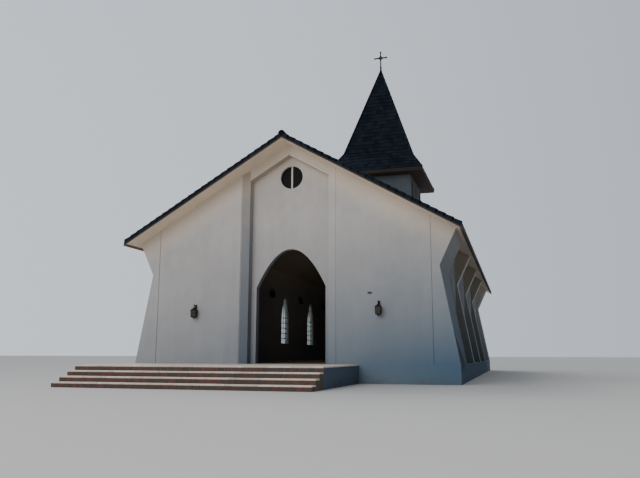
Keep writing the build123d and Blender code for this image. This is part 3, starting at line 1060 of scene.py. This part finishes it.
def makeLancetFrames(side, sizes):
    low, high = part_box("window_glass_" + side)
    glass = (low.x + high.x) / 2
    finLow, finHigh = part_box("fins_" + side)
    spacing = finSpacing(finLow, finHigh)
    half, bar, inset = sizes["half"], sizes["bar"] / 2, sizes["barIn"]
    deep = sizes["depth"] / 2 - sizes["barRecess"]
    lastY = high.y - half
    build = bmesh.new()
    for centre in (low.y + half, lastY - 2 * spacing, lastY - spacing, lastY):
        points = [(glass - sizes["depth"] / 2, centre + u, floorZ + z) for u, z in lancetPoints(sizes)]
        face = build.faces.new([build.verts.new(point) for point in points])
        face.normal_update()
        ring = bmesh.ops.inset_region(build, faces=[face], thickness=sizes["frame"], use_even_offset=True)
        build.faces.remove(face)
        extruded(build, ring["faces"], (sizes["depth"], 0, 0))
        addBlock(build, (glass - deep, centre - bar, floorZ + sizes["sill"] + inset),
                 (glass + deep, centre + bar, floorZ + sizes["crown"] - sizes["barUnderCrown"]))
        level = sizes["sill"] + sizes["barSpacing"]
        while level < sizes["topBar"]:
            addBlock(build, (glass - deep, centre - half + inset, floorZ + level - bar),
                     (glass + deep, centre + half - inset, floorZ + level + bar))
            level += sizes["barSpacing"]
    newPiece("lancet_frames_" + side, build, darkPaint)


for side in ("right", "left"):
    makeLancetFrames(side, windowSizes)
print("windows framed")

# lanterns, drawn with the middle of the lamp at X = Y = 0 and the wall at Y = standoff
lanternSizes = {
    "topHalf": 0.092,
    "bottomHalf": 0.082,
    "lampLow": 0.075,
    "lampHigh": 0.335,
    "standoff": 0.15,
    "rim": 0.016,
    "rimOut": 0.008,
    "bar": 0.011,
    "thinBar": 0.006,
    "paneIn": 0.003,
    "paneEnd": 0.01,
    "hood": [(0.10, 0.092, 0.335, 0.349), (0.088, 0.034, 0.349, 0.40), (0.034, 0.022, 0.40, 0.43)],
    "foot": (0.018, 0.086, 0.042, 0.075),      # half width below and above, lowest and highest
    "drop": [(0.0005, 0.003), (0.016, 0.014), (0.018, 0.028), (0.009, 0.042), (0.014, 0.05)],
    "finial": [(0.021, 0.43), (0.012, 0.447), (0.012, 0.475), (0.021, 0.49), (0.024, 0.508),
               (0.017, 0.526), (0.005, 0.538), (0.0005, 0.54)],
    "arm": 0.0085,
    "armPath": [(0, 0.475), (0.045, 0.51), (0.1125, 0.505), (0.138, 0.475)],
    "scroll": 0.006,
    "scrollPath": [(0.138, 0.365), (0.0825, 0.375), (0.0675, 0.445), (0.108, 0.47), (0.12, 0.435)],
    "plate": ((-0.04, 0.136, 0.325), (0.04, 0.15, 0.53)),
    "plateEdge": 0.005,
}


# the vertices already in the build are tagged, so that only the new ones move
def addTurned(build, profile, centre, steps=10):
    for vert in build.verts:
        vert.tag = True
    verts = [build.verts.new((radius, 0, height)) for radius, height in profile]
    edges = [build.edges.new(pair) for pair in zip(verts, verts[1:])]
    bmesh.ops.spin(build, geom=verts + edges, cent=(0, 0, 0), axis=(0, 0, 1), angle=2 * math.pi,
                   steps=steps, use_merge=True)
    bmesh.ops.translate(build, vec=centre, verts=[vert for vert in build.verts if not vert.tag])


def addRod(build, points, radius):
    curve = bpy.data.curves.new("rod", "CURVE")
    curve.dimensions = "3D"
    curve.bevel_depth = radius
    curve.bevel_resolution = 1
    curve.use_fill_caps = True
    spline = curve.splines.new("NURBS")
    spline.points.add(len(points) - 1)
    for point, spot in zip(spline.points, points):
        point.co = (*spot, 1)
    spline.order_u = 3
    spline.use_endpoint_u = True
    spline.resolution_u = 4
    holder = bpy.data.objects.new("rod", curve)
    mesh = bpy.data.meshes.new_from_object(holder)
    build.from_mesh(mesh)
    bpy.data.meshes.remove(mesh)
    bpy.data.objects.remove(holder)
    bpy.data.curves.remove(curve)


def addPost(build, signX, signY, half, sizes):
    foot = Vector((signX * sizes["bottomHalf"], signY * sizes["bottomHalf"], sizes["lampLow"]))
    head = Vector((signX * sizes["topHalf"], signY * sizes["topHalf"], sizes["lampHigh"]))
    corners = [(-half, -half), (half, -half), (half, half), (-half, half)]
    addPrism(build, [(foot.x + x, foot.y + y, foot.z) for x, y in corners], head - foot)


def lanternMetal(sizes):
    build = bmesh.new()
    rim, rimOut = sizes["rim"], sizes["rimOut"]
    for low, half in ((sizes["lampLow"], sizes["bottomHalf"]), (sizes["lampHigh"] - rim, sizes["topHalf"])):
        addFrustum(build, half + rimOut, half + rimOut, low, low + rim)
    for signX, signY in fourCorners:
        addPost(build, signX, signY, sizes["bar"] / 2, sizes)
    for signX, signY in ((1, 0), (-1, 0), (0, 1), (0, -1)):
        addPost(build, signX, signY, sizes["thinBar"] / 2, sizes)
    for part in (*sizes["hood"], sizes["foot"]):
        addFrustum(build, *part)
    for profile in (sizes["drop"], sizes["finial"]):
        addTurned(build, profile, (0, 0, 0))
    for rod in ("arm", "scroll"):
        addRod(build, [(0, y, z) for y, z in sizes[rod + "Path"]], sizes[rod])
    addBlock(build, *sizes["plate"], sizes["plateEdge"])
    return shapeFrom(build)


def lanternPanes(sizes):
    inset, end = sizes["paneIn"], sizes["paneEnd"]
    build = bmesh.new()
    addFrustum(build, sizes["bottomHalf"] - inset, sizes["topHalf"] - inset, sizes["lampLow"] + end,
               sizes["lampHigh"] - end)
    return shapeFrom(build)


def lanternPlaces(sizes):
    places = {}
    for name in ("lantern_left", "lantern_right"):
        low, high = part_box(name)
        spot = ((low.x + high.x) / 2, high.y - sizes["standoff"], low.z)
        places[name] = [Matrix.Translation(spot)]
    low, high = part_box("nave_lanterns")
    places["nave_lanterns"] = []
    finLow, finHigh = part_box("fins_right")
    spacing = finSpacing(finLow, finHigh)
    for number in range(4):
        y = finLow.y + finThickness / 2 + spacing * number
        for side in (-1, 1):
            spot = Matrix.Translation((side * (high.x - sizes["standoff"]), y, low.z))
            places["nave_lanterns"].append(spot @ Matrix.Rotation(math.radians(-90 * side), 4, "Z"))
    return places


metalShape = lanternMetal(lanternSizes)
paneShape = lanternPanes(lanternSizes)
for name, spots in lanternPlaces(lanternSizes).items():
    metal, panes = bmesh.new(), bmesh.new()
    for spot in spots:
        stamp(metal, metalShape, spot)
        stamp(panes, paneShape, spot)
    newPiece(name + "_metal", metal, lanternBronze, [name], recalc=False)
    newPiece(name + "_panes", panes, lanternGlass, recalc=False)
print("lanterns hung")

# small box on the right of the front, with its cable gland
boxSizes = {
    "spot": (2.964, 2.389),    # across, and up from the floor
    "half": (0.055, 0.026),
    "depth": 0.045,
    "edge": 0.006,
    "gland": 0.012,
    "glandPath": [(-0.004, -0.02, 0), (0.012, -0.02, 0), (0.03, -0.008, -0.004), (0.034, 0.004, -0.006)],
}


def makeWallBox(name, sizes):
    x, z = sizes["spot"][0], floorZ + sizes["spot"][1]
    wide, tall = sizes["half"]
    end, face = x + wide, frontY - sizes["depth"]
    build = bmesh.new()
    addBlock(build, (x - wide, face, z - tall), (end, frontY, z + tall), sizes["edge"])
    path = [(end + out, frontY + back, z + rise) for out, back, rise in sizes["glandPath"]]
    addRod(build, path, sizes["gland"])
    newPiece(name, build, darkPaint)


makeWallBox("wall_box", boxSizes)

# iron cross
crossSizes = {
    "bar": 0.068,
    "edge": 0.004,
    "armHeight": 0.94,
    "reach": 0.375,
    "height": 1.398,
    "bud": 0.066,
    "budGap": 0.005,
    "budTip": 0.0005,
    "budProfile": [(0.35, -0.9), (0.3, -0.55), (0.8, -0.2), (1, 0.15), (0.7, 0.6), (0.25, 0.9)],
    "scroll": 0.095,
    "curl": 0.017,
    "curlPath": [(0.1, 1.55), (0.35, 1.5), (0.62, 1.2), (0.62, 0.75), (0.75, 0.62), (1.2, 0.62),
                 (1.5, 0.35), (1.55, 0.1)],
    "foot": [(0.0005, 0), (0.085, 0), (0.09, 0.03), (0.06, 0.07), (0.054, 0.30), (0.065, 0.33),
             (0.045, 0.37), (0.0005, 0.38)],
}


def addBud(build, spot, direction, sizes):
    size, tip = sizes["bud"], sizes["budTip"]
    middle = [(size * radius, size * height) for radius, height in sizes["budProfile"]]
    turned = bmesh.new()
    addTurned(turned, [(tip, -size)] + middle + [(tip, size)], (0, 0, 0))
    shape = shapeFrom(turned)
    turn = Vector((0, 0, 1)).rotation_difference(direction).to_matrix().to_4x4()
    stamp(build, shape, Matrix.Translation(spot) @ turn)
    bpy.data.meshes.remove(shape)


def makeCross(name, sizes):
    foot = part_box("cross")[0].z
    half, reach, edge, scroll = sizes["bar"] / 2, sizes["reach"], sizes["edge"], sizes["scroll"]
    front, back = belfryY - half, belfryY + half
    crossing = foot + sizes["armHeight"]
    top = foot + sizes["height"] - sizes["bud"]
    build = bmesh.new()
    addBlock(build, (-half, front, foot), (half, back, top), edge)
    addBlock(build, (-reach, front, crossing - half), (reach, back, crossing + half), edge)
    addBud(build, Vector((0, belfryY, top)), Vector((0, 0, 1)), sizes)
    for sign in (1, -1):
        end = Vector((sign * (reach + sizes["budGap"]), belfryY, crossing))
        addBud(build, end, Vector((sign, 0, 0)), sizes)
        for rise in (1, -1):
            path = [(sign * scroll * u, belfryY, crossing + rise * scroll * v) for u, v in sizes["curlPath"]]
            addRod(build, path, sizes["curl"])
    addTurned(build, sizes["foot"], (0, belfryY, foot))
    newPiece(name, build, crossIron, ["cross"])


makeCross("iron_cross", crossSizes)

# flashing where the belfry meets the roof
flashingSizes = {"thickness": 0.014, "up": 0.10, "down": 0.075, "sideDown": 0.095}


def makeFlashing(name, sizes):
    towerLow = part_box("belfry_front")[0]
    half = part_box("belfry_front")[1].x
    thick, up, down = sizes["thickness"], sizes["up"], -sizes["down"]
    out = half + thick
    outline = [(-out, up), (0, up), (out, up), (out, down), (0, down), (-out, down)]
    build = bmesh.new()
    for y in (towerLow.y - thick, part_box("belfry_rear")[1].y):
        addPrism(build, [(x, y, roofTop(x) + rise) for x, rise in outline], (0, thick, 0))
    for sign in (1, -1):
        near, far = sorted((sign * half, sign * out))
        addBlock(build, (near, belfryY - half, roofTop(half) - sizes["sideDown"]),
                 (far, belfryY + half, roofTop(half) + up))
    newPiece(name, build, darkPaint)


makeFlashing("belfry_flashing", flashingSizes)

# floor, light and camera
floorLook = {"size": 400, "dim": (0.60, 0.59, 0.57), "pale": (0.63, 0.62, 0.60), "clouds": (0.2, 2)}


def makeFloor(look):
    build = bmesh.new()
    bmesh.ops.create_grid(build, x_segments=2, y_segments=2, size=look["size"])
    mesh = shapeFrom(build, "studio_floor", recalc=False)
    mat = newMaterial("studioFloor", Roughness=0.9, Specular_IOR_Level=0.1)
    colour = mix(mat, noise(mat, place(mat), *look["clouds"]), look["dim"], look["pale"])
    mat.node_tree.links.new(colour, shaderOf(mat).inputs["Base Color"])
    mesh.materials.append(mat)
    studioFloor = addObject("studio_floor", mesh)


lightSizes = {
    "panelSpot": (-7.2, -34.5, 18.7),      # from the middle of the front at floor level
    "panelAim": (-1.5, 0.0, 5.0),
    "panelSize": 23.0,
    "panelPower": 5150,
    "panelColour": (1.0, 0.97, 0.93),
    "sunSpot": (0, 0, 30),
    "sunTowards": (0.50, -0.62, -0.85),
    "sunPower": 0.7,
    "sunColour": (1.0, 0.95, 0.88),
    "sunSoftness": 25,                     # degrees
    "fillPower": 26,                       # a faint lamp inside the nave, a little behind its middle
    "fillColour": (1.0, 0.86, 0.70),
    "fillBack": 2,
    "fillHeight": 3.2,
    "fillSize": 1.2,
    "sky": (0.84, 0.91, 1.0),
    "skyPower": 0.56,
    "skyTilt": (-0.36, 0.20, 0.02),        # how the sky brightens along X, Y and Z
}


def addLamp(name, kind, spot, towards, power, colour):
    lamp = bpy.data.lights.new(name, kind)
    lamp.energy = power
    lamp.color = colour
    holder = addObject(name, lamp)
    holder.location = spot
    holder.rotation_euler = Vector(towards).to_track_quat("-Z", "Y").to_euler()
    return lamp


def makeLight(sizes):
    origin = Vector((0, frontY, floorZ))
    spot = Vector(sizes["panelSpot"])
    panel = addLamp("panel", "AREA", origin + spot, Vector(sizes["panelAim"]) - spot,
                    sizes["panelPower"], sizes["panelColour"])
    panel.size = sizes["panelSize"]
    sun = addLamp("sun", "SUN", sizes["sunSpot"], sizes["sunTowards"], sizes["sunPower"],
                  sizes["sunColour"])
    sun.angle = math.radians(sizes["sunSoftness"])
    nave = (0, (frontY + rearY) / 2 + sizes["fillBack"], floorZ + sizes["fillHeight"])
    fill = addLamp("fill", "POINT", nave, (0, 0, -1), sizes["fillPower"], sizes["fillColour"])
    fill.shadow_soft_size = sizes["fillSize"]


def makeSky(sizes):
    world = bpy.data.worlds.new("studio")
    world.use_nodes = True
    sky = world.node_tree.nodes["Background"]
    towards = addNode(world, "TexCoord").outputs["Generated"]
    tilt = addNode(world, "VectorMath", {0: towards, 1: sizes["skyTilt"]}, operation="DOT_PRODUCT")
    level = maths(world, "ADD", tilt.outputs["Value"], sizes["skyPower"])
    world.node_tree.links.new(level, sky.inputs["Strength"])
    sky.inputs["Color"].default_value = (*sizes["sky"], 1)
    bpy.context.scene.world = world


cameraSizes = {
    "imageWidth": 640,
    "focalPixels": 652.5,
    "sensor": 36,
    "clipEnd": 1000,
    "right": 7.685,            # from the middle of the front at floor level
    "back": 21.6,
    "up": 0.308,
    "yaw": -0.291,
    "pitch": 0.176,
    "roll": 0.002,
}


def makeCamera(sizes):
    lens = bpy.data.cameras.new("camera")
    lens.sensor_fit = "HORIZONTAL"
    lens.sensor_width = sizes["sensor"]
    lens.lens = sizes["focalPixels"] / sizes["imageWidth"] * sizes["sensor"]
    lens.clip_end = sizes["clipEnd"]
    yaw, pitch, roll = sizes["yaw"], sizes["pitch"], sizes["roll"]
    across = Vector((math.cos(yaw), -math.sin(yaw), 0))
    upright = Vector((-math.sin(yaw) * math.sin(pitch), -math.cos(yaw) * math.sin(pitch), math.cos(pitch)))
    right = across * math.cos(roll) + upright * math.sin(roll)
    up = upright * math.cos(roll) - across * math.sin(roll)
    spot = Vector((sizes["right"], frontY - sizes["back"], floorZ + sizes["up"]))
    camera = addObject("camera", lens)
    camera.matrix_world = axesMatrix(spot, right, up, right.cross(up))
    bpy.context.scene.camera = camera


makeFloor(floorLook)
makeLight(lightSizes)
makeSky(lightSizes)
makeCamera(cameraSizes)
bpy.context.view_layer.update()
print("scene ready")
